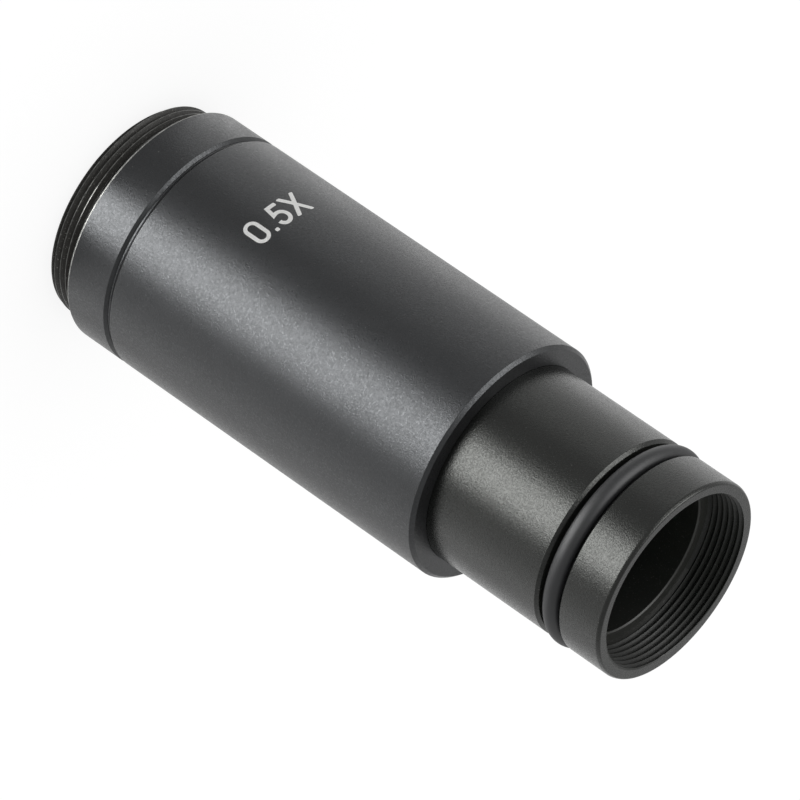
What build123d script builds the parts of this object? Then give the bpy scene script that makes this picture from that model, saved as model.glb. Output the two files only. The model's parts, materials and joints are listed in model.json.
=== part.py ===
from build123d import *
from math import copysign, sqrt
import os

# Microscope camera adapter: a turned tube that drops into a 23.2 mm eyepiece sleeve and carries
# a camera on a C-mount thread, with a reducing relay of two cemented pairs and a field lens.
# Millimetres. The axis is Z, the camera end stands on Z = 0 and the eyepiece mouth is at the top.

# Standard interfaces
c_mount_thread_dia = 25.4
eyepiece_tube_dia = 23.2

# Camera collar: thread, relief and flange, then a skirt that screws onto the barrel
flange_width = 1.12
thread_length = 2.9
thread_end_chamfer = 0.25
relief_length = 0.55
relief_depth = 0.65
relief_undercut = 0.1
collar_length = 5.95
collar_bore_wall = 2.0
collar_skirt_wall = 1.37
flange_chamfer = 0.35
collar_mouth_chamfer = 0.3
collar_seam_chamfer = 0.33

# Main barrel
shoulder_width = 2.22
barrel_length = 43.75
barrel_wall = 1.45
barrel_front_chamfer = 0.38
seam_land_width = 0.2
seam_land_depth = 0.36
seam_slope_length = 0.45
spigot_length = 3.8
spigot_wall = 1.2
spigot_root_length = 1.6

# Eyepiece tube
insert_length = 23.55
register_depth = 1.5
register_step = 0.2
tube_thread_length = 5.2
tube_thread_step = 0.6
tube_thread_wall = 1.1
field_seat_depth = 14.7
field_seat_width = 0.95
mouth_ring_width = 5.3
mouth_wall = 1.4
mouth_step_backing = 0.84
mouth_step_chamfer = 0.15
mouth_outer_chamfer_width = 0.16
mouth_outer_chamfer_length = 0.36
mouth_inner_chamfer = 0.12
groove_depth = 1.55
groove_floor_width = 2.75
groove_edge_chamfer = 0.34
cord_dia = 1.8

# Lens cell
cell_flange_thickness = 1.6
cell_flange_step = 0.95
rear_seat_height = 3.8
web_height = 7.0
lens_seat_width = 0.7
stop_dia = 9.6
stop_edge = 0.5
ring_recess = 0.5
cell_slot_width = 1.6
cell_slot_depth = 0.8

# Cemented pairs: the rear one faces the camera, and both crowns face the stop
rear_lens_dia = 14.0
rear_crown_edge = 0.85
rear_flint_thickness = 1.5
rear_crown_radius = 14.2
rear_cement_radius = 10.4
rear_flint_radius = 30.3
front_lens_dia = 16.0
front_crown_edge = 1.25
front_flint_thickness = 1.8
front_crown_radius = 28.4
front_cement_radius = 20.8
front_flint_radius = 60.6

# Field lens, flat side to the mouth
field_lens_edge = 1.2
field_lens_radius = 18.7

# Retaining rings
ring_thickness = 1.6
ring_overlap = 0.9
ring_bevel = 0.4
ring_slot_width = 1.4
ring_slot_depth = 0.8

# Clearances: the first four on the radius, the gaps along the axis
thread_clearance = 0.05
undercut_clearance = 0.1
register_clearance = 0.02
lens_clearance = 0.03
spigot_end_gap = 0.2
tube_end_gap = 0.3


def sag(curve_radius, height):
    """Depth of a spherical surface at a height from the axis."""
    return curve_radius - sqrt(curve_radius**2 - height**2)


# Stations along the axis, from the camera end to the mouth
flange_z = thread_length + relief_length
seam_z = flange_z + collar_length
spigot_end_z = seam_z - spigot_length
step_z = spigot_end_z - spigot_end_gap
chamber_rear_z = seam_z + spigot_root_length
shoulder_z = seam_z + barrel_length
register_z = shoulder_z - register_depth
tube_rear_z = register_z - tube_thread_length
chamber_front_z = tube_rear_z - tube_end_gap
mouth_z = shoulder_z + insert_length
groove_top_z = mouth_z - mouth_ring_width - groove_edge_chamfer
groove_bottom_z = groove_top_z - groove_floor_width
cord_z = (groove_top_z + groove_bottom_z) / 2
mouth_step_z = groove_top_z + mouth_step_backing

# Radii: the barrel is as wide as its wider end needs
thread_r = c_mount_thread_dia / 2
tube_r = eyepiece_tube_dia / 2
barrel_r = max(thread_r + flange_width, tube_r + shoulder_width)
land_r = barrel_r - seam_land_depth
chamber_r = barrel_r - barrel_wall
relief_r = thread_r - relief_depth
undercut_r = thread_r + undercut_clearance
collar_bore_r = thread_r - collar_bore_wall
socket_r = barrel_r - collar_skirt_wall
spigot_r = socket_r - thread_clearance
spigot_bore_r = spigot_r - spigot_wall
tube_thread_r = tube_r - tube_thread_step
tube_socket_r = tube_thread_r + thread_clearance
register_r = tube_r - register_step
register_bore_r = register_r + register_clearance
lens_bore_r = tube_thread_r - tube_thread_wall
tube_bore_r = lens_bore_r - field_seat_width
mouth_r = tube_r - mouth_wall
groove_r = tube_r - groove_depth
cord_r = cord_dia / 2

# Relay stack: each crown touches the sharp corner of its seat, and each ring the flint behind it
rear_lens_r = rear_lens_dia / 2
front_lens_r = front_lens_dia / 2
rear_seat_r = rear_lens_r - lens_seat_width
front_seat_r = front_lens_r - lens_seat_width
rear_crown_thickness = (
    rear_crown_edge + sag(rear_crown_radius, rear_lens_r) + sag(rear_cement_radius, rear_lens_r)
)
front_crown_thickness = (
    front_crown_edge + sag(front_crown_radius, front_lens_r) + sag(front_cement_radius, front_lens_r)
)
rear_seat_z = step_z + rear_seat_height
front_seat_z = rear_seat_z + web_height
stop_z = (rear_seat_z + front_seat_z) / 2
rear_crown_z = rear_seat_z + sag(rear_crown_radius, rear_seat_r)
rear_cement_z = rear_crown_z - rear_crown_thickness
rear_flint_z = rear_cement_z - rear_flint_thickness
front_crown_z = front_seat_z - sag(front_crown_radius, front_seat_r)
front_cement_z = front_crown_z + front_crown_thickness
front_flint_z = front_cement_z + front_flint_thickness
rear_ring_bore_r = rear_lens_r - ring_overlap
front_ring_bore_r = front_lens_r - ring_overlap
rear_ring_z = rear_flint_z + sag(rear_flint_radius, rear_ring_bore_r)
front_ring_z = front_flint_z - sag(front_flint_radius, front_ring_bore_r)
cell_rear_z = rear_ring_z - ring_thickness - ring_recess
cell_front_z = front_ring_z + ring_thickness + ring_recess

# Field lens, clamped against the seat inside the eyepiece tube
field_lens_r = lens_bore_r - lens_clearance
field_ring_bore_r = field_lens_r - ring_overlap
field_seat_z = mouth_z - field_seat_depth
field_edge_z = field_seat_z - field_lens_edge
field_vertex_z = field_edge_z - sag(field_lens_radius, field_lens_r)
field_ring_z = field_vertex_z + sag(field_lens_radius, field_ring_bore_r)


def rims(part, height):
    """Circular edges at one height, the smallest first."""
    near = 0.001
    circles = part.edges().filter_by(GeomType.CIRCLE)
    return circles.filter_by_position(Axis.Z, height - near, height + near).sort_by(SortBy.RADIUS)


def glass_element(lens_r, lower_z, lower_radius, upper_z, upper_radius):
    """One lens of a cemented pair. A surface with a positive radius curves upwards from its vertex."""

    def on_surface(vertex_z, curve_radius, height):
        return (height, vertex_z + copysign(sag(abs(curve_radius), height), curve_radius))

    with BuildPart() as element:
        with BuildSketch(Plane.XZ):
            with BuildLine():
                lower = ThreePointArc(
                    (0, lower_z),
                    on_surface(lower_z, lower_radius, lens_r / 2),
                    on_surface(lower_z, lower_radius, lens_r),
                )
                upper = ThreePointArc(
                    on_surface(upper_z, upper_radius, lens_r),
                    on_surface(upper_z, upper_radius, lens_r / 2),
                    (0, upper_z),
                )
                Line(lower @ 1, upper @ 0)
                Line(upper @ 1, lower @ 0)
            make_face()
        revolve(axis=Axis.Z)
    return element


def retaining_ring(outer_r, bore_r, glass_z, outwards):
    """Slotted ring. Its square corner touches the glass, and its slotted face points outwards."""
    slotted_z = glass_z + outwards * ring_thickness
    with BuildPart() as ring:
        with BuildSketch(Plane.XY.offset(glass_z)):
            Circle(outer_r)
            Circle(bore_r, mode=Mode.SUBTRACT)
        extrude(amount=outwards * ring_thickness)
        chamfer(rims(ring, slotted_z)[0], length=ring_bevel)
        with BuildSketch(Plane.XY.offset(slotted_z)):
            Rectangle(2 * outer_r, ring_slot_width)
        extrude(amount=-outwards * ring_slot_depth, mode=Mode.SUBTRACT)
    return ring


# Camera collar
with BuildPart() as c_mount_collar:
    with BuildSketch(Plane.XZ):
        with BuildLine():
            Polyline(
                (collar_bore_r, 0),
                (thread_r, 0),
                (thread_r, thread_length),
                (relief_r, thread_length),
                (relief_r, flange_z + relief_undercut),
                (undercut_r, flange_z + relief_undercut),
                (undercut_r, flange_z),
                (barrel_r, flange_z),
                (barrel_r, seam_z),
                (socket_r, seam_z),
                (socket_r, step_z),
                (collar_bore_r, step_z),
                close=True,
            )
        make_face()
    revolve(axis=Axis.Z)
    chamfer(rims(c_mount_collar, 0)[-1], length=thread_end_chamfer)
    chamfer(rims(c_mount_collar, 0)[0], length=collar_mouth_chamfer)
    chamfer(rims(c_mount_collar, flange_z)[-1], length=flange_chamfer)
    chamfer(rims(c_mount_collar, seam_z)[-1], length=collar_seam_chamfer)

# Main barrel: a spigot into the collar, an open chamber and a front wall that takes the tube
with BuildPart() as main_barrel:
    with BuildSketch(Plane.XZ):
        with BuildLine():
            Polyline(
                (spigot_bore_r, spigot_end_z),
                (spigot_r, spigot_end_z),
                (spigot_r, seam_z),
                (land_r, seam_z),
                (land_r, seam_z + seam_land_width),
                (barrel_r, seam_z + seam_land_width + seam_slope_length),
                (barrel_r, shoulder_z),
                (register_bore_r, shoulder_z),
                (register_bore_r, register_z),
                (tube_socket_r, register_z),
                (tube_socket_r, chamber_front_z),
                (chamber_r, chamber_front_z),
                (chamber_r, chamber_rear_z),
                (spigot_bore_r, chamber_rear_z),
                close=True,
            )
        make_face()
    revolve(axis=Axis.Z)
    chamfer(rims(main_barrel, shoulder_z)[-1], length=barrel_front_chamfer)
    chamfer(rims(main_barrel, shoulder_z)[0], length=register_step)

# Eyepiece tube: threaded root, plain tube, seal groove and end ring with a threaded mouth
with BuildPart() as eyepiece_tube:
    with BuildSketch(Plane.XZ):
        with BuildLine():
            Polyline(
                (lens_bore_r, tube_rear_z),
                (tube_thread_r, tube_rear_z),
                (tube_thread_r, register_z),
                (register_r, register_z),
                (register_r, shoulder_z),
                (tube_r, shoulder_z),
                (tube_r, groove_bottom_z),
                (groove_r, groove_bottom_z),
                (groove_r, groove_top_z),
                (tube_r, groove_top_z),
                (tube_r, mouth_z),
                (mouth_r, mouth_z),
                (mouth_r, mouth_step_z),
                (tube_bore_r, mouth_step_z),
                (tube_bore_r, field_seat_z),
                (lens_bore_r, field_seat_z),
                close=True,
            )
        make_face()
    revolve(axis=Axis.Z)
    groove_edges = [rims(eyepiece_tube, groove_bottom_z)[-1], rims(eyepiece_tube, groove_top_z)[-1]]
    chamfer(groove_edges, length=groove_edge_chamfer)
    chamfer(rims(eyepiece_tube, mouth_step_z)[0], length=mouth_step_chamfer)
    chamfer(rims(eyepiece_tube, mouth_z)[0], length=mouth_inner_chamfer)
    mouth_face = eyepiece_tube.faces().sort_by(Axis.Z)[-1]
    chamfer(
        rims(eyepiece_tube, mouth_z)[-1],
        length=mouth_outer_chamfer_width,
        length2=mouth_outer_chamfer_length,
        reference=mouth_face,
    )

# Round-section seal, bedded on the floor of its groove
with BuildPart() as o_ring:
    with BuildSketch(Plane.XZ):
        with Locations((groove_r + cord_r, cord_z)):
            Circle(cord_r)
    revolve(axis=Axis.Z)

# Lens cell: screws into the collar up to its flange, and its middle web is the aperture stop
with BuildPart() as lens_cell:
    rear_bore_r = rear_lens_r + lens_clearance
    front_bore_r = front_lens_r + lens_clearance
    cell_thread_r = collar_bore_r - thread_clearance
    cell_flange_r = spigot_bore_r - thread_clearance
    cell_body_r = cell_flange_r - cell_flange_step
    flange_top_z = step_z + cell_flange_thickness
    with BuildSketch(Plane.XZ):
        with BuildLine():
            Polyline(
                (rear_bore_r, cell_rear_z),
                (cell_thread_r, cell_rear_z),
                (cell_thread_r, step_z),
                (cell_flange_r, step_z),
                (cell_flange_r, flange_top_z),
                (cell_body_r, flange_top_z),
                (cell_body_r, cell_front_z),
                (front_bore_r, cell_front_z),
                (front_bore_r, front_seat_z),
                (front_seat_r, front_seat_z),
                (stop_dia / 2, stop_z + stop_edge / 2),
                (stop_dia / 2, stop_z - stop_edge / 2),
                (rear_seat_r, rear_seat_z),
                (rear_bore_r, rear_seat_z),
                close=True,
            )
        make_face()
    revolve(axis=Axis.Z)
    with BuildSketch(Plane.XY.offset(cell_rear_z)):
        Rectangle(2 * cell_thread_r, cell_slot_width)
    extrude(amount=cell_slot_depth, mode=Mode.SUBTRACT)

# Relay lenses and their rings
rear_doublet_crown = glass_element(
    rear_lens_r, rear_cement_z, rear_cement_radius, rear_crown_z, -rear_crown_radius
)
rear_doublet_flint = glass_element(
    rear_lens_r, rear_flint_z, rear_flint_radius, rear_cement_z, rear_cement_radius
)
front_doublet_crown = glass_element(
    front_lens_r, front_crown_z, front_crown_radius, front_cement_z, -front_cement_radius
)
front_doublet_flint = glass_element(
    front_lens_r, front_cement_z, -front_cement_radius, front_flint_z, -front_flint_radius
)
rear_retaining_ring = retaining_ring(
    rear_bore_r - thread_clearance, rear_ring_bore_r, rear_ring_z, -1
)
front_retaining_ring = retaining_ring(
    front_bore_r - thread_clearance, front_ring_bore_r, front_ring_z, 1
)

# Field lens: flat face on the seat, curved face towards the relay
with BuildPart() as field_lens:
    with BuildSketch(Plane.XZ):
        with BuildLine():
            half_r = field_lens_r / 2
            curved = ThreePointArc(
                (0, field_vertex_z),
                (half_r, field_vertex_z + sag(field_lens_radius, half_r)),
                (field_lens_r, field_edge_z),
            )
            Polyline(curved @ 1, (field_lens_r, field_seat_z), (0, field_seat_z), curved @ 0)
        make_face()
    revolve(axis=Axis.Z)

field_lens_retaining_ring = retaining_ring(
    lens_bore_r - thread_clearance, field_ring_bore_r, field_ring_z, -1
)

pieces = {
    "c_mount_collar": c_mount_collar,
    "main_barrel": main_barrel,
    "eyepiece_tube": eyepiece_tube,
    "o_ring": o_ring,
    "lens_cell": lens_cell,
    "rear_doublet_crown": rear_doublet_crown,
    "rear_doublet_flint": rear_doublet_flint,
    "rear_retaining_ring": rear_retaining_ring,
    "front_doublet_crown": front_doublet_crown,
    "front_doublet_flint": front_doublet_flint,
    "front_retaining_ring": front_retaining_ring,
    "field_lens": field_lens,
    "field_lens_retaining_ring": field_lens_retaining_ring,
}

os.makedirs("parts", exist_ok=True)
for name, piece in pieces.items():
    piece.part.label = name
    export_step(piece.part, f"parts/{name}.step")
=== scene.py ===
import json
from math import atan2, ceil, copysign, cos, hypot, log, pi, radians, sin, sqrt, tan

import bmesh
import bpy
from mathutils import Matrix, Vector


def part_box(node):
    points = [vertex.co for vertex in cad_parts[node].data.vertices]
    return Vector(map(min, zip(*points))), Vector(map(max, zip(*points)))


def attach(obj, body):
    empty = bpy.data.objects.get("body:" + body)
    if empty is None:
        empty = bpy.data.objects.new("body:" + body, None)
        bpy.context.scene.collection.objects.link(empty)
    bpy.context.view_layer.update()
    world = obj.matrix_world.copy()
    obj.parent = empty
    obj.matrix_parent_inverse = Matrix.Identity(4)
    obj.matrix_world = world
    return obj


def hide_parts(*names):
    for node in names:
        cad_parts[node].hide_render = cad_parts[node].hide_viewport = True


# Looks of the microscope camera adapter. Lengths are in millimetres until a mesh is made.
MM = 0.001
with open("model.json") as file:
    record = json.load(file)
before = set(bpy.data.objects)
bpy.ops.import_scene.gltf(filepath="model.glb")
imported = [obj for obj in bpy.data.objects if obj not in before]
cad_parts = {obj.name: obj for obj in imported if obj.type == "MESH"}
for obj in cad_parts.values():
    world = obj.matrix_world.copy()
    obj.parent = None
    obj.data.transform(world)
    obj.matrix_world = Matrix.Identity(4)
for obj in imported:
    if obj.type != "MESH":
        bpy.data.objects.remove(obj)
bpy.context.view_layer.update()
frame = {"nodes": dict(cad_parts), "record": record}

# Sizes that the frame gives
mounts = {mount["name"]: mount for mount in frame["record"]["mounts"]}


def span(node):
    """Lowest and highest Z of a CAD node, and its outer radius."""
    low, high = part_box(node)
    return low.z / MM, high.z / MM, high.x / MM


def mount_radius(name):
    return mounts[name]["dims"]["r_mm"]


def mount_height(name):
    return mounts[name]["pos_m"][2] / MM


thread_r = mount_radius("c_mount_thread")
tube_r = mount_radius("eyepiece_tube_od")
mouth_r = mount_radius("mouth_thread")
flange_z = mount_height("c_mount_flange")
shoulder_z = mount_height("tube_shoulder")
collar_z, seam_z, barrel_r = span("c_mount_collar")
spigot_z = span("main_barrel")[0]
tube_rear_z, mouth_z, _ = span("eyepiece_tube")
cord_low_z, cord_high_z, cord_outer_r = span("o_ring")

# Camera collar
thread_pitch = 25.4 / 32
thread_depth = 0.613 * thread_pitch
thread_length = 2.9
thread_end_chamfer = 0.25
crest_band = 0.01
relief_r = thread_r - 0.65
relief_undercut = 0.1
relief_edge_r = thread_r + 0.1
flange_chamfer = 0.35
flange_edge_round = 0.25
bare_edge_width = 0.1
collar_bore_r = thread_r - 2.0
collar_mouth_chamfer = 0.3
collar_seam_chamfer = 0.33
socket_r = barrel_r - 1.37
collar_step_z = spigot_z - 0.2

# Main barrel
screw_gap = 0.05
land_r = barrel_r - 0.36
land_width = 0.2
slope_length = 0.45
barrel_front_chamfer = 0.38
spigot_r = socket_r - screw_gap
spigot_bore_r = spigot_r - 1.2
chamber_r = barrel_r - 1.45
chamber_low_z = seam_z + 1.6
register_r = tube_r - 0.2
register_z = shoulder_z - 1.5
register_bore_r = register_r + 0.02
register_chamfer = 0.2
tube_thread_r = tube_r - 0.6
chamber_high_z = tube_rear_z - 0.3

# Eyepiece tube
mouth_ring_width = 5.3
groove_edge_chamfer = 0.34
groove_high_z = mouth_z - mouth_ring_width - groove_edge_chamfer
groove_low_z = groove_high_z - 2.75
groove_floor_r = tube_r - 1.55
mouth_step_z = groove_high_z + 0.84
lens_bore_r = tube_thread_r - 1.1
tube_bore_r = lens_bore_r - 0.95
field_seat_z = mouth_z - 14.7
mouth_pitch = 0.7
mouth_thread_depth = 0.541 * mouth_pitch
mouth_thread_start = 0.4
mouth_thread_end = 0.12
mouth_edge_width = 0.16
mouth_edge_length = 0.36
mouth_step_chamfer = 0.15

# Meshes
COLUMNS = 288
edge_break = 0.05
support = 0.03
arc_step = radians(20)
sharp_angle = radians(28)
merge_distance = 0.0005 * MM
sliver_length = 0.0002 * MM
thread_phases = (0.0, 0.06, 0.12, 0.3, 0.47, 0.5, 0.56, 0.62, 0.79, 0.96)


def rounded(corners):
    """Points of a closed section. Each corner is (r, z, rounding), and a rounded one becomes an arc."""
    points = []
    count = len(corners)
    for i, (r, z, rounding) in enumerate(corners):
        here = Vector((r, z))
        before = Vector(corners[i - 1][:2]) - here
        after = Vector(corners[(i + 1) % count][:2]) - here
        if rounding == 0:
            points.append((r, z))
            continue
        a, b = before.normalized(), after.normalized()
        half = a.angle(b) / 2
        reach = min(rounding / tan(half), 0.4 * before.length, 0.4 * after.length)
        radius = reach * tan(half)
        centre = here + (a + b).normalized() * radius / sin(half)
        start, stop = here + a * reach, here + b * reach
        first = atan2(*(start - centre).yx)
        turn = (atan2(*(stop - centre).yx) - first + pi) % (2 * pi) - pi
        steps = max(2, ceil(abs(turn) / arc_step))
        if before.length > reach + 3 * support:
            points.append(tuple(start + a * support))
        for k in range(steps + 1):
            angle = first + turn * k / steps
            points.append(tuple(centre + radius * Vector((cos(angle), sin(angle)))))
        if after.length > reach + 3 * support:
            points.append(tuple(stop + b * support))
    return points


def groove_share(phase):
    """Depth of a 60 degree thread groove, from 0 on the crest to 1 at the root, over one pitch."""
    crest_end, root_start = 0.06, 0.47
    from_crest = min(phase % 1, 1 - phase % 1)
    return min(max((from_crest - crest_end) / (root_start - crest_end), 0), 1)


def thread_rows(low, high, pitch, blank, depth, inside, turn):
    """(r, z) rows of a right-handed thread at one place round the axis, clamped to its ends."""
    rows = []
    turns = ceil((high - low) / pitch) + 1
    for k in range(-1, turns):
        for phase in thread_phases:
            z = min(max(low + (k + phase + turn) * pitch, low), high)
            share = groove_share((z - low) / pitch - turn)
            r = blank(z)
            r = max(r, mouth_r + depth * share) if inside else min(r, thread_r - depth * share)
            rows.append((r, z))
    return rows


def turned(name, section, columns=COLUMNS):
    """Solid of revolution. The section is a closed list of (r, z), or a function of the share of a turn."""
    mesh = bmesh.new()
    rings = []
    for column in range(columns + 1):
        turn = column / columns
        points = section(turn) if callable(section) else section
        angle = 2 * pi * turn
        x, y = MM * cos(angle), MM * sin(angle)
        rings.append([mesh.verts.new((r * x, r * y, z * MM)) for r, z in points])
    count = len(rings[0])
    for left, right in zip(rings, rings[1:]):
        for i in range(count):
            j = (i + 1) % count
            mesh.faces.new((left[i], left[j], right[j], right[i]))
    bmesh.ops.remove_doubles(mesh, verts=mesh.verts, dist=merge_distance)
    bmesh.ops.dissolve_degenerate(mesh, edges=mesh.edges, dist=sliver_length)
    bmesh.ops.recalc_face_normals(mesh, faces=mesh.faces)
    return piece_from(mesh, name)


def piece_from(mesh, name):
    data = bpy.data.meshes.new(name)
    mesh.to_mesh(data)
    mesh.free()
    data.shade_smooth()
    data.set_sharp_from_angle(angle=sharp_angle)
    piece = bpy.data.objects.new(name, data)
    bpy.context.scene.collection.objects.link(piece)
    return piece


def dress(piece, material, slot, *nodes):
    """Gives a piece its material and its body, and hides the CAD nodes that it stands for. The record slot
    is not used.
    """
    piece.data.materials.append(material)
    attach(piece, "root")
    if nodes:
        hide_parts(*nodes)


def paint(piece, material, chosen):
    """Gives a second material to the faces whose middle, as (r, z), is chosen."""
    piece.data.materials.append(material)
    index = len(piece.data.materials) - 1
    for face in piece.data.polygons:
        x, y, z = face.center / MM
        if chosen(hypot(x, y), z):
            face.material_index = index


# Materials
def shader(name):
    material = bpy.data.materials.new(name)
    material.use_nodes = True
    return material, material.node_tree.nodes, material.node_tree.links


def object_coordinates(nodes):
    return nodes.new("ShaderNodeTexCoord").outputs["Object"]


def noise(nodes, links, coordinates, size, detail=2.0, rough=0.5):
    """Noise with features of about the given size in millimetres."""
    texture = nodes.new("ShaderNodeTexNoise")
    texture.inputs["Scale"].default_value = 1 / (size * MM)
    texture.inputs["Detail"].default_value = detail
    texture.inputs["Roughness"].default_value = rough
    links.new(coordinates, texture.inputs["Vector"])
    return texture.outputs["Fac"]


def remap(nodes, links, value, from_low, from_high, to_low, to_high):
    node = nodes.new("ShaderNodeMapRange")
    limits = {"From Min": from_low, "From Max": from_high, "To Min": to_low, "To Max": to_high}
    for socket, number in limits.items():
        node.inputs[socket].default_value = number
    links.new(value, node.inputs["Value"])
    return node.outputs["Result"]


def mix_colours(nodes, links, share, first, second):
    node = nodes.new("ShaderNodeMix")
    node.data_type = "RGBA"
    links.new(share, node.inputs["Factor"])
    for socket, colour in (("A", first), ("B", second)):
        target = next(s for s in node.inputs if s.name == socket and s.type == "RGBA")
        if isinstance(colour, tuple):
            target.default_value = (*colour, 1)
        else:
            links.new(colour, target)
    return next(s for s in node.outputs if s.type == "RGBA")


def bump(nodes, links, height, depth):
    """Bump whose height runs over the given depth in millimetres."""
    node = nodes.new("ShaderNodeBump")
    node.inputs["Distance"].default_value = depth * MM
    node.inputs["Strength"].default_value = 1.0
    links.new(height, node.inputs["Height"])
    return node.outputs["Normal"]


def scaled(colour, share):
    return tuple(share * c for c in colour)


def anodised(name, base, tint, roughness, ior, grain_size, grain_depth):
    """Bead-blasted black anodising: fine pits that glint, faint clouds and a few specks of dust."""
    material, nodes, links = shader(name)
    bsdf = nodes["Principled BSDF"]
    at = object_coordinates(nodes)
    clouds = remap(nodes, links, noise(nodes, links, at, 3.0, 3.0), 0.35, 0.65, 0, 1)
    colour = mix_colours(nodes, links, clouds, scaled(base, 0.8), scaled(base, 1.2))
    specks = remap(nodes, links, noise(nodes, links, at, 0.45, 1.0), 0.775, 0.81, 0, 1)
    colour = mix_colours(nodes, links, specks, colour, (0.06, 0.06, 0.058))
    links.new(colour, bsdf.inputs["Base Color"])
    grain = noise(nodes, links, at, grain_size, 3.0, 0.6)
    links.new(bump(nodes, links, grain, grain_depth), bsdf.inputs["Normal"])
    glitter = noise(nodes, links, at, 1.4 * grain_size, 3.0, 0.9)
    glints = remap(nodes, links, glitter, 0.3, 0.7, 0, 1)
    sheen = mix_colours(nodes, links, glints, scaled(tint, 0.56), tint)
    links.new(sheen, bsdf.inputs["Specular Tint"])
    swing = 0.12
    polish = remap(nodes, links, glints, 0, 1, roughness + swing, roughness - swing)
    links.new(polish, bsdf.inputs["Roughness"])
    bsdf.inputs["IOR"].default_value = ior
    return material


def matt_black(name, dark, light, glints):
    """Dull blackened metal as the cutter left it, with lighter spots in its colour: partly wear, partly
    painted glints.
    """
    material, nodes, links = shader(name)
    bsdf = nodes["Principled BSDF"]
    at = object_coordinates(nodes)
    base = mix_colours(nodes, links, noise(nodes, links, at, 1.5, 3.0), dark, light)
    grain = noise(nodes, links, at, 0.16, 3.0)
    # Spots of lighter colour: partly wear, partly painted glints.
    wear_and_painted_glints = remap(nodes, links, grain, 0.62, 0.74, 0, 1)
    base = mix_colours(nodes, links, wear_and_painted_glints, base, glints)
    links.new(base, bsdf.inputs["Base Color"])
    links.new(bump(nodes, links, grain, 0.008), bsdf.inputs["Normal"])
    bsdf.inputs["Roughness"].default_value = 0.45
    bsdf.inputs["IOR"].default_value = 1.3
    return material


def worn_edge(name, dark, light, roughness):
    """Thin line of nearly bare metal where an edge has lost some of its black."""
    material, nodes, links = shader(name)
    bsdf = nodes["Principled BSDF"]
    patches = noise(nodes, links, object_coordinates(nodes), 0.5, 3.0)
    wear = remap(nodes, links, patches, 0.35, 0.65, 0, 1)
    links.new(mix_colours(nodes, links, wear, dark, light), bsdf.inputs["Base Color"])
    bsdf.inputs["Metallic"].default_value = 1.0
    bsdf.inputs["Roughness"].default_value = roughness
    return material


def rubber(name):
    """Smooth moulded rubber with a faint bloom."""
    material, nodes, links = shader(name)
    bsdf = nodes["Principled BSDF"]
    at = object_coordinates(nodes)
    bloom = noise(nodes, links, at, 1.2, 3.0)
    base = mix_colours(nodes, links, bloom, (0.014, 0.0145, 0.015), (0.020, 0.0208, 0.0225))
    links.new(base, bsdf.inputs["Base Color"])
    links.new(bump(nodes, links, noise(nodes, links, at, 0.2, 2.0), 0.003), bsdf.inputs["Normal"])
    bsdf.inputs["Roughness"].default_value = 0.5
    bsdf.inputs["IOR"].default_value = 1.33
    return material


def coated_glass(name):
    """Clear polished glass with a green anti-reflection coating."""
    material, nodes, links = shader(name)
    bsdf = nodes["Principled BSDF"]
    bsdf.inputs["Base Color"].default_value = (0.97, 0.99, 0.98, 1)
    bsdf.inputs["Roughness"].default_value = 0.0
    bsdf.inputs["IOR"].default_value = 1.52
    bsdf.inputs["Transmission Weight"].default_value = 1.0
    bsdf.inputs["Specular Tint"].default_value = (0.35, 0.75, 0.6, 1)
    return material


def white_ink(name):
    material, nodes, links = shader(name)
    bsdf = nodes["Principled BSDF"]
    at = object_coordinates(nodes)
    wear = remap(nodes, links, noise(nodes, links, at, 0.25, 3.0), 0.35, 0.7, 0, 1)
    base = mix_colours(nodes, links, wear, (0.84, 0.84, 0.825), (0.91, 0.91, 0.895))
    links.new(base, bsdf.inputs["Base Color"])
    links.new(bump(nodes, links, noise(nodes, links, at, 0.1, 2.0), 0.004), bsdf.inputs["Normal"])
    bsdf.inputs["Roughness"].default_value = 0.55
    return material


barrel_black = anodised(
    "fine_blasted_black", base=(0.009, 0.0092, 0.0096), tint=(0.94, 0.97, 1),
    roughness=0.35, ior=1.422, grain_size=0.18, grain_depth=0.03,
)
tube_black = anodised(
    "coarse_blasted_black", base=(0.0036, 0.004, 0.0037), tint=(0.98, 1, 0.957),
    roughness=0.27, ior=1.386, grain_size=0.165, grain_depth=0.025,
)
inner_black = matt_black(
    "inner_blackened_metal",
    dark=(0.007, 0.008, 0.0065), light=(0.011, 0.012, 0.010), glints=(0.05, 0.05, 0.048),
)
thread_black = matt_black(
    "camera_thread_black",
    dark=(0.026, 0.0255, 0.023), light=(0.040, 0.039, 0.036), glints=(0.22, 0.215, 0.20),
)
# A lighter copy of the inner black for the mouth's step ring: painted light where light falls on the step,
# with painted glints.
step_painted_lighter = matt_black(
    "mouth_step_painted_light",
    dark=(0.022, 0.023, 0.020), light=(0.032, 0.033, 0.030), glints=(0.07, 0.07, 0.066),
)
edge_metal = worn_edge("bare_flange_edge", (0.15, 0.15, 0.145), (0.27, 0.27, 0.26), 0.8)
crest_metal = worn_edge("worn_thread_crest", (0.05, 0.05, 0.048), (0.13, 0.13, 0.125), 0.3)
mouth_crest_metal = worn_edge("worn_mouth_crest", (0.025, 0.025, 0.024), (0.07, 0.07, 0.067), 0.35)
seal_black = rubber("seal_rubber")
glass = coated_glass("coated_lens_glass")
ink = white_ink("figure_white")


# Camera collar
def end_chamfered(z):
    """Outer radius of the camera thread's blank."""
    return thread_r - max(0, collar_z + thread_end_chamfer - z)


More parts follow.
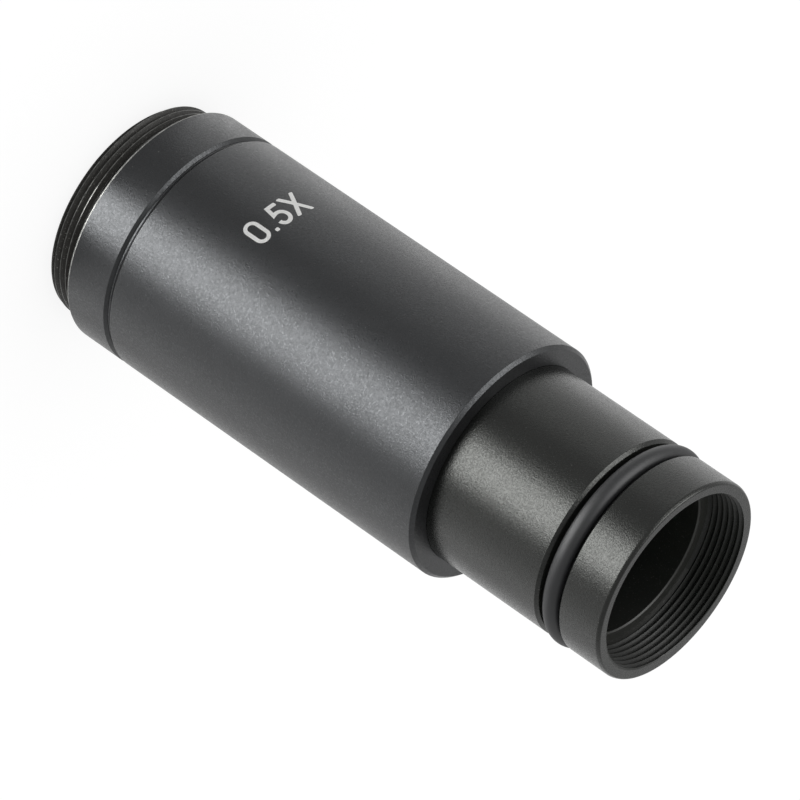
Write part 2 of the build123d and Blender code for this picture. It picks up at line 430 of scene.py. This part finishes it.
collar_inside = rounded([
    (thread_r, thread_length, 0),
    (relief_r, thread_length, 0),
    (relief_r, flange_z + relief_undercut, 0.08),
    (relief_edge_r, flange_z + relief_undercut, 0),
    (relief_edge_r, flange_z, edge_break),
    (barrel_r - flange_chamfer, flange_z, edge_break),
    (barrel_r, flange_z + flange_chamfer, flange_edge_round),
    (barrel_r, seam_z - collar_seam_chamfer, edge_break),
    (barrel_r - collar_seam_chamfer, seam_z, 0.03),
    (socket_r, seam_z, 0.03),
    (socket_r, collar_step_z, 0),
    (collar_bore_r, collar_step_z, edge_break),
    (collar_bore_r, collar_mouth_chamfer, edge_break),
    (collar_bore_r + collar_mouth_chamfer, collar_z, 0.03),
    (thread_r, collar_z, 0),
])[1:-1]


def collar_section(turn):
    thread = thread_rows(collar_z, thread_length, thread_pitch, end_chamfered, thread_depth, False, turn)
    return thread + collar_inside


def on_camera_thread(r, z):
    return r < relief_edge_r and z < flange_z + 0.5


def on_camera_crest(r, z):
    return r > thread_r - crest_band and z < thread_length


def on_flange_edge(r, z):
    from_edge = abs(z - flange_z - flange_chamfer)
    return r > barrel_r - bare_edge_width and from_edge < bare_edge_width


collar = turned("camera_collar", collar_section)
dress(collar, barrel_black, "barrel_anodised", "c_mount_collar")
paint(collar, thread_black, on_camera_thread)
paint(collar, crest_metal, on_camera_crest)
paint(collar, edge_metal, on_flange_edge)

# Main barrel
barrel_section = rounded([
    (spigot_bore_r, spigot_z, edge_break),
    (spigot_r, spigot_z, edge_break),
    (spigot_r, seam_z, 0),
    (land_r, seam_z, 0.02),
    (land_r, seam_z + land_width, 0.05),
    (barrel_r, seam_z + land_width + slope_length, 0.15),
    (barrel_r, shoulder_z - barrel_front_chamfer, 0.08),
    (barrel_r - barrel_front_chamfer, shoulder_z, 0.08),
    (register_bore_r + register_chamfer, shoulder_z, 0.02),
    (register_bore_r, shoulder_z - register_chamfer, 0),
    (register_bore_r, register_z, 0),
    (tube_thread_r + screw_gap, register_z, edge_break),
    (tube_thread_r + screw_gap, chamber_high_z, edge_break),
    (chamber_r, chamber_high_z, 0.1),
    (chamber_r, chamber_low_z, 0.1),
    (spigot_bore_r, chamber_low_z, edge_break),
])
dress(turned("barrel_body", barrel_section), barrel_black, "barrel_anodised", "main_barrel")


# Eyepiece tube
def mouth_blank(z):
    """Inner radius of the mouth's blank, with its lead-in chamfer."""
    return mouth_r + max(0, z - (mouth_z - mouth_thread_end))


tube_outside = rounded([
    (mouth_r, mouth_z, 0),
    (tube_r - mouth_edge_width, mouth_z, 0.2),
    (tube_r, mouth_z - mouth_edge_length, 0.4),
    (tube_r, groove_high_z + groove_edge_chamfer, 0.08),
    (tube_r - groove_edge_chamfer, groove_high_z, 0.08),
    (groove_floor_r, groove_high_z, 0.12),
    (groove_floor_r, groove_low_z, 0.12),
    (tube_r - groove_edge_chamfer, groove_low_z, 0.08),
    (tube_r, groove_low_z - groove_edge_chamfer, 0.08),
    (tube_r, shoulder_z, 0.03),
    (register_r, shoulder_z, 0),
    (register_r, register_z, 0.03),
    (tube_thread_r, register_z, 0),
    (tube_thread_r, tube_rear_z, edge_break),
    (lens_bore_r, tube_rear_z, edge_break),
    (lens_bore_r, field_seat_z, 0),
    (tube_bore_r, field_seat_z, edge_break),
    (tube_bore_r, mouth_step_z - mouth_step_chamfer, edge_break),
    (tube_bore_r + mouth_step_chamfer, mouth_step_z, 0.03),
    (mouth_r, mouth_step_z, 0),
])[1:]


def tube_section(turn):
    low = mouth_step_z + mouth_thread_start
    thread = thread_rows(low, mouth_z, mouth_pitch, mouth_blank, mouth_thread_depth, True, turn)
    return tube_outside + thread


def on_tube_inside(r, z):
    return r < tube_r - groove_edge_chamfer and z < mouth_z - 0.01


def on_mouth_step(r, z):
    return tube_bore_r < r < mouth_r + 0.1 and abs(z - mouth_step_z) < 0.2


def on_mouth_crest(r, z):
    in_thread = mouth_step_z + 0.5 < z < mouth_z - mouth_thread_end
    return in_thread and abs(r - mouth_r) < crest_band


tube = turned("eyepiece_tube_body", tube_section)
dress(tube, tube_black, "tube_anodised", "eyepiece_tube")
paint(tube, inner_black, on_tube_inside)
# The step ring gets the lighter copy: painted light.
paint(tube, step_painted_lighter, on_mouth_step)
paint(tube, mouth_crest_metal, on_mouth_crest)

# Seal, pressed slightly oval
cord_r = (cord_high_z - cord_low_z) / 2
cord_half_width = cord_r + 0.1
cord_middle_r = cord_outer_r - cord_r
cord_middle_z = cord_low_z + cord_half_width
cord_sides = 48
seal_section = []
for k in range(cord_sides):
    angle = 2 * pi * k / cord_sides
    r = cord_middle_r + cord_r * cos(angle)
    z = cord_middle_z + cord_half_width * sin(angle)
    seal_section.append((r, z))
dress(turned("seal_ring", seal_section), seal_black, "seal_rubber", "o_ring")

# Cemented pairs, each with a hair of cement between its two lenses
cement_gap = 0.02


def sag(radius, r):
    """Height of a curved face over its middle. A positive radius curves upwards."""
    return radius - copysign(sqrt(radius**2 - r**2), radius)


def lens(name, node, low_radius, high_radius, low_gap, high_gap):
    """Lens in a CAD node's place, with the radius of each curved face and how far each stands back."""
    low_z, high_z, lens_r = span(node)
    if low_radius < 0:
        low_z -= sag(low_radius, lens_r)
    if high_radius > 0:
        high_z -= sag(high_radius, lens_r)
    steps = 24
    rows = [lens_r * k / steps for k in range(steps + 1)]
    section = [(r, low_z + low_gap + sag(low_radius, r)) for r in rows]
    section += [(r, high_z - high_gap + sag(high_radius, r)) for r in reversed(rows)]
    dress(turned(name, section), glass, "lens_glass", node)


rear_cement_radius = 10.4
front_cement_radius = -20.8
lens("rear_outer_lens", "rear_doublet_flint", 30.3, rear_cement_radius, 0, cement_gap)
lens("rear_inner_lens", "rear_doublet_crown", rear_cement_radius, -14.2, 0, 0)
lens("front_inner_lens", "front_doublet_crown", 28.4, front_cement_radius, 0, 0)
lens("front_outer_lens", "front_doublet_flint", front_cement_radius, -60.6, cement_gap, 0)

# Carried-over inner parts
for node in ("lens_cell", "rear_retaining_ring", "front_retaining_ring", "field_lens_retaining_ring"):
    part = frame["nodes"][node]
    part.data.materials.clear()
    part.data.materials.append(inner_black)
frame["nodes"]["field_lens"].data.materials.clear()
frame["nodes"]["field_lens"].data.materials.append(glass)

# Magnification figure, printed on the barrel and read from its eyepiece end
figure_start = -4.34
figure_base_z = 22.78
figure_raise = 0.012
figure_depth = 0.02
figure_strip = 0.3


def arc(x, y, width, height, start, stop, steps=14):
    """Points on an ellipse, between two angles in degrees."""
    angles = [radians(start + (stop - start) * k / steps) for k in range(steps + 1)]
    return [(x + width * cos(a), y + height * sin(a)) for a in angles]


def stroke(path, width, end_round):
    """Outline of a bent stroke of even width."""
    left, right = [], []
    for i, point in enumerate(path):
        here = Vector(point)
        into = (here - Vector(path[i - 1])).normalized() if i else None
        out = (Vector(path[i + 1]) - here).normalized() if i + 1 < len(path) else None
        into, out = into or out, out or into
        along = (into + out).normalized()
        across = Vector((-along.y, along.x)) * width / 2 / max(0.35, along.dot(into))
        rounding = 0 if 0 < i < len(path) - 1 else end_round
        left.append((*(here + across), rounding))
        right.append((*(here - across), rounding))
    return rounded(left + right[::-1])


def loop(x, y, width, height, corner):
    """Closed outline with four round corners, centred on a point."""
    a, b = width / 2 - corner, height / 2 - corner
    return (
        arc(x + a, y + b, corner, corner, 0, 90, 8)
        + arc(x - a, y + b, corner, corner, 90, 180, 8)
        + arc(x - a, y - b, corner, corner, 180, 270, 8)
        + arc(x + a, y - b, corner, corner, 270, 360, 8)
    )


def cross(x, y, spread, height, width, end_round):
    """Outline of two crossing bars with level ends."""
    a, h, w = spread / 2, height / 2, width / 2
    notch = w * h / a
    outline = [
        (-a - w, h), (-a + w, h), (0, notch), (a - w, h), (a + w, h), (w, 0),
        (a + w, -h), (a - w, -h), (0, -notch), (-a + w, -h), (-a - w, -h), (-w, 0),
    ]
    return rounded([(x + u, y + v, end_round if abs(v) == h else 0) for u, v in outline])


def magnification_outlines():
    zero = [loop(0.97, 1.68, 1.86, 3.28, 0.93), loop(0.97, 1.69, 0.96, 2.40, 0.46)]
    point = [loop(2.57, 0.28, 0.46, 0.46, 0.14)]
    bowl = arc(4.12, 1.09, 0.82, 0.88, 100, -90) + arc(4.12, 0.93, 0.60, 0.72, -90, -175)[1:]
    five = [stroke([(5.03, 3.05), (3.84, 3.05), (3.64, 1.87)] + bowl, 0.47, 0.12)]
    times = [cross(6.63, 1.68, 2.0, 3.34, 0.57, 0.16)]
    return zero + point + five + times


def wrapped_figure(name, outlines):
    """Fills flat outlines, cuts them into narrow strips and wraps them round the barrel."""
    curve = bpy.data.curves.new(name, "CURVE")
    curve.dimensions = "2D"
    curve.fill_mode = "BOTH"
    curve.extrude = (figure_raise + figure_depth) / 2
    for outline in outlines:
        spline = curve.splines.new("POLY")
        spline.points.add(len(outline) - 1)
        spline.use_cyclic_u = True
        for point, (x, y) in zip(spline.points, outline):
            point.co = (x, y, 0, 1)
    flat = bpy.data.objects.new(name, curve)
    bpy.context.scene.collection.objects.link(flat)
    filled = flat.evaluated_get(bpy.context.evaluated_depsgraph_get())
    mesh = bmesh.new()
    mesh.from_mesh(bpy.data.meshes.new_from_object(filled))
    bpy.data.objects.remove(flat)
    width = max(v.co.x for v in mesh.verts)
    for k in range(1, ceil(width / figure_strip)):
        geometry = mesh.verts[:] + mesh.edges[:] + mesh.faces[:]
        cut = (k * figure_strip, 0, 0)
        bmesh.ops.bisect_plane(mesh, geom=geometry, plane_co=cut, plane_no=(1, 0, 0))
    bmesh.ops.remove_doubles(mesh, verts=mesh.verts, dist=0.0005)
    for v in mesh.verts:
        r = barrel_r + (figure_raise if v.co.z > 0 else -figure_depth)
        angle = -pi / 2 + (figure_start - v.co.x) / barrel_r
        v.co = Vector((r * cos(angle), r * sin(angle), figure_base_z - v.co.y)) * MM
    bmesh.ops.recalc_face_normals(mesh, faces=mesh.faces)
    return piece_from(mesh, name)


dress(wrapped_figure("magnification_figure", magnification_outlines()), ink, "barrel_anodised")


# Floor and world
floor_half = 6.0
floor_z = -0.02 * MM
floor_grey = (0.18, 0.18, 0.18, 1)
floor_glow = 0.84


def floor_material():
    """Pale floor: a shaded grey, and a glow that makes it white to the camera and in reflections."""
    material, nodes, links = shader("pale_floor")
    nodes.remove(nodes["Principled BSDF"])
    diffuse = nodes.new("ShaderNodeBsdfDiffuse")
    diffuse.inputs["Color"].default_value = floor_grey
    glow = nodes.new("ShaderNodeEmission")
    path = nodes.new("ShaderNodeLightPath")
    seen = path.outputs["Is Camera Ray"]
    for ray in ("Is Glossy Ray", "Is Transmission Ray"):
        either = nodes.new("ShaderNodeMath")
        either.operation = "MAXIMUM"
        links.new(seen, either.inputs[0])
        links.new(path.outputs[ray], either.inputs[1])
        seen = either.outputs[0]
    level = nodes.new("ShaderNodeMath")
    level.operation = "MULTIPLY"
    level.inputs[1].default_value = floor_glow
    links.new(seen, level.inputs[0])
    links.new(level.outputs[0], glow.inputs["Strength"])
    both = nodes.new("ShaderNodeAddShader")
    links.new(diffuse.outputs[0], both.inputs[0])
    links.new(glow.outputs[0], both.inputs[1])
    links.new(both.outputs[0], nodes["Material Output"].inputs["Surface"])
    return material


floor_data = bpy.data.meshes.new("floor")
corners = [(x * floor_half, y * floor_half, floor_z) for x, y in ((-1, -1), (1, -1), (1, 1), (-1, 1))]
floor_data.from_pydata(corners, [], [(0, 1, 2, 3)])
floor_data.materials.append(floor_material())
floor = bpy.data.objects.new("floor", floor_data)
bpy.context.scene.collection.objects.link(floor)

world = bpy.data.worlds.new("studio")
world.use_nodes = True
world.node_tree.nodes["Background"].inputs["Color"].default_value = (1, 1, 1, 1)
world.node_tree.nodes["Background"].inputs["Strength"].default_value = 1.0
bpy.context.scene.world = world


# Lamps. The world alone lights the colours, and these give the black surfaces their sheen.
def sheen_lamp(name, width, length, place, facing, radiance):
    """Flat lamp of the given size and place in millimetres, with facing as the rotation of its -Z."""
    data = bpy.data.lights.new(name, "AREA")
    data.shape = "RECTANGLE"
    data.size = width * MM
    data.size_y = length * MM
    data.energy = radiance * pi * data.size * data.size_y
    lamp = bpy.data.objects.new(name, data)
    lamp.location = place * MM
    lamp.rotation_mode = "QUATERNION"
    lamp.rotation_quaternion = facing
    lamp.visible_camera = False
    lamp.visible_diffuse = False
    bpy.context.scene.collection.objects.link(lamp)


def towards(turn, rise):
    """Direction at an angle from -Y towards +X, and at a height, both in degrees."""
    level = cos(radians(rise))
    return Vector((sin(radians(turn)) * level, -cos(radians(turn)) * level, sin(radians(rise))))


def low_lamps(name, turn, half_width, near, far, radiance):
    """Lamps that lie before the barrel's foot and face up, each wider and further out than the last.

    Angles are in degrees. From any height on the barrel the fan looks about equally wide.
    """
    growth = 1.7
    foot_half = 2.0
    lamp_height = Vector((0, 0, 0.5))
    foot = barrel_r * towards(turn / 2, 0)
    facing = Matrix.Rotation(radians(turn), 3, "Z") @ Matrix.Rotation(pi, 3, "X")
    for step in range(round(log(far / near) / log(growth))):
        start, stop = near * growth**step, near * growth ** (step + 1)
        middle = (start + stop) / 2
        width = 2 * (foot_half + middle * tan(radians(half_width)))
        place = foot + towards(turn, 0) * middle + lamp_height
        sheen_lamp(f"{name}_{step}", width, stop - start, place, facing.to_quaternion(), radiance)


low_lamps("key", 17, 20, 1.5, 300, 14.4)
low_lamps("right", 85, 30, 5, 160, 0.95)
low_lamps("left", -100, 42, 5, 160, 0.8)
window_side = 420
window_at = towards(-70, 48) * 500
window_facing = window_at.to_track_quat("Z", "Y")
sheen_lamp("window", window_side, window_side, window_at, window_facing, 7)

# Camera: where the part's origin lies from it, in millimetres, how far the part's axis is tilted out of
# the line of sight, and how far it is turned in the picture
axis_tilt = radians(62.070)
axis_turn = radians(34.580)
end_right, end_down, end_ahead = -28.027, -20.135, 722.897
focal_length = 307.38

x_axis = Vector((-sin(axis_turn), cos(axis_turn), 0))
y_axis = Vector((cos(axis_tilt) * cos(axis_turn), cos(axis_tilt) * sin(axis_turn), sin(axis_tilt)))
z_axis = Vector((sin(axis_tilt) * cos(axis_turn), sin(axis_tilt) * sin(axis_turn), -cos(axis_tilt)))
seen_to_row = Matrix((x_axis, y_axis, z_axis))
camera_data = bpy.data.cameras.new("camera")
camera_data.lens = focal_length
camera_data.sensor_width = 36
camera_data.clip_end = 50
camera = bpy.data.objects.new("camera", camera_data)
place = -(seen_to_row @ Vector((end_right, end_down, end_ahead))) * MM
facing = seen_to_row @ Matrix.Diagonal((1, -1, -1))
camera.matrix_world = Matrix.Translation(place) @ facing.to_4x4()
bpy.context.scene.collection.objects.link(camera)
bpy.context.scene.camera = camera
bpy.context.scene.view_settings.view_transform = "Standard"
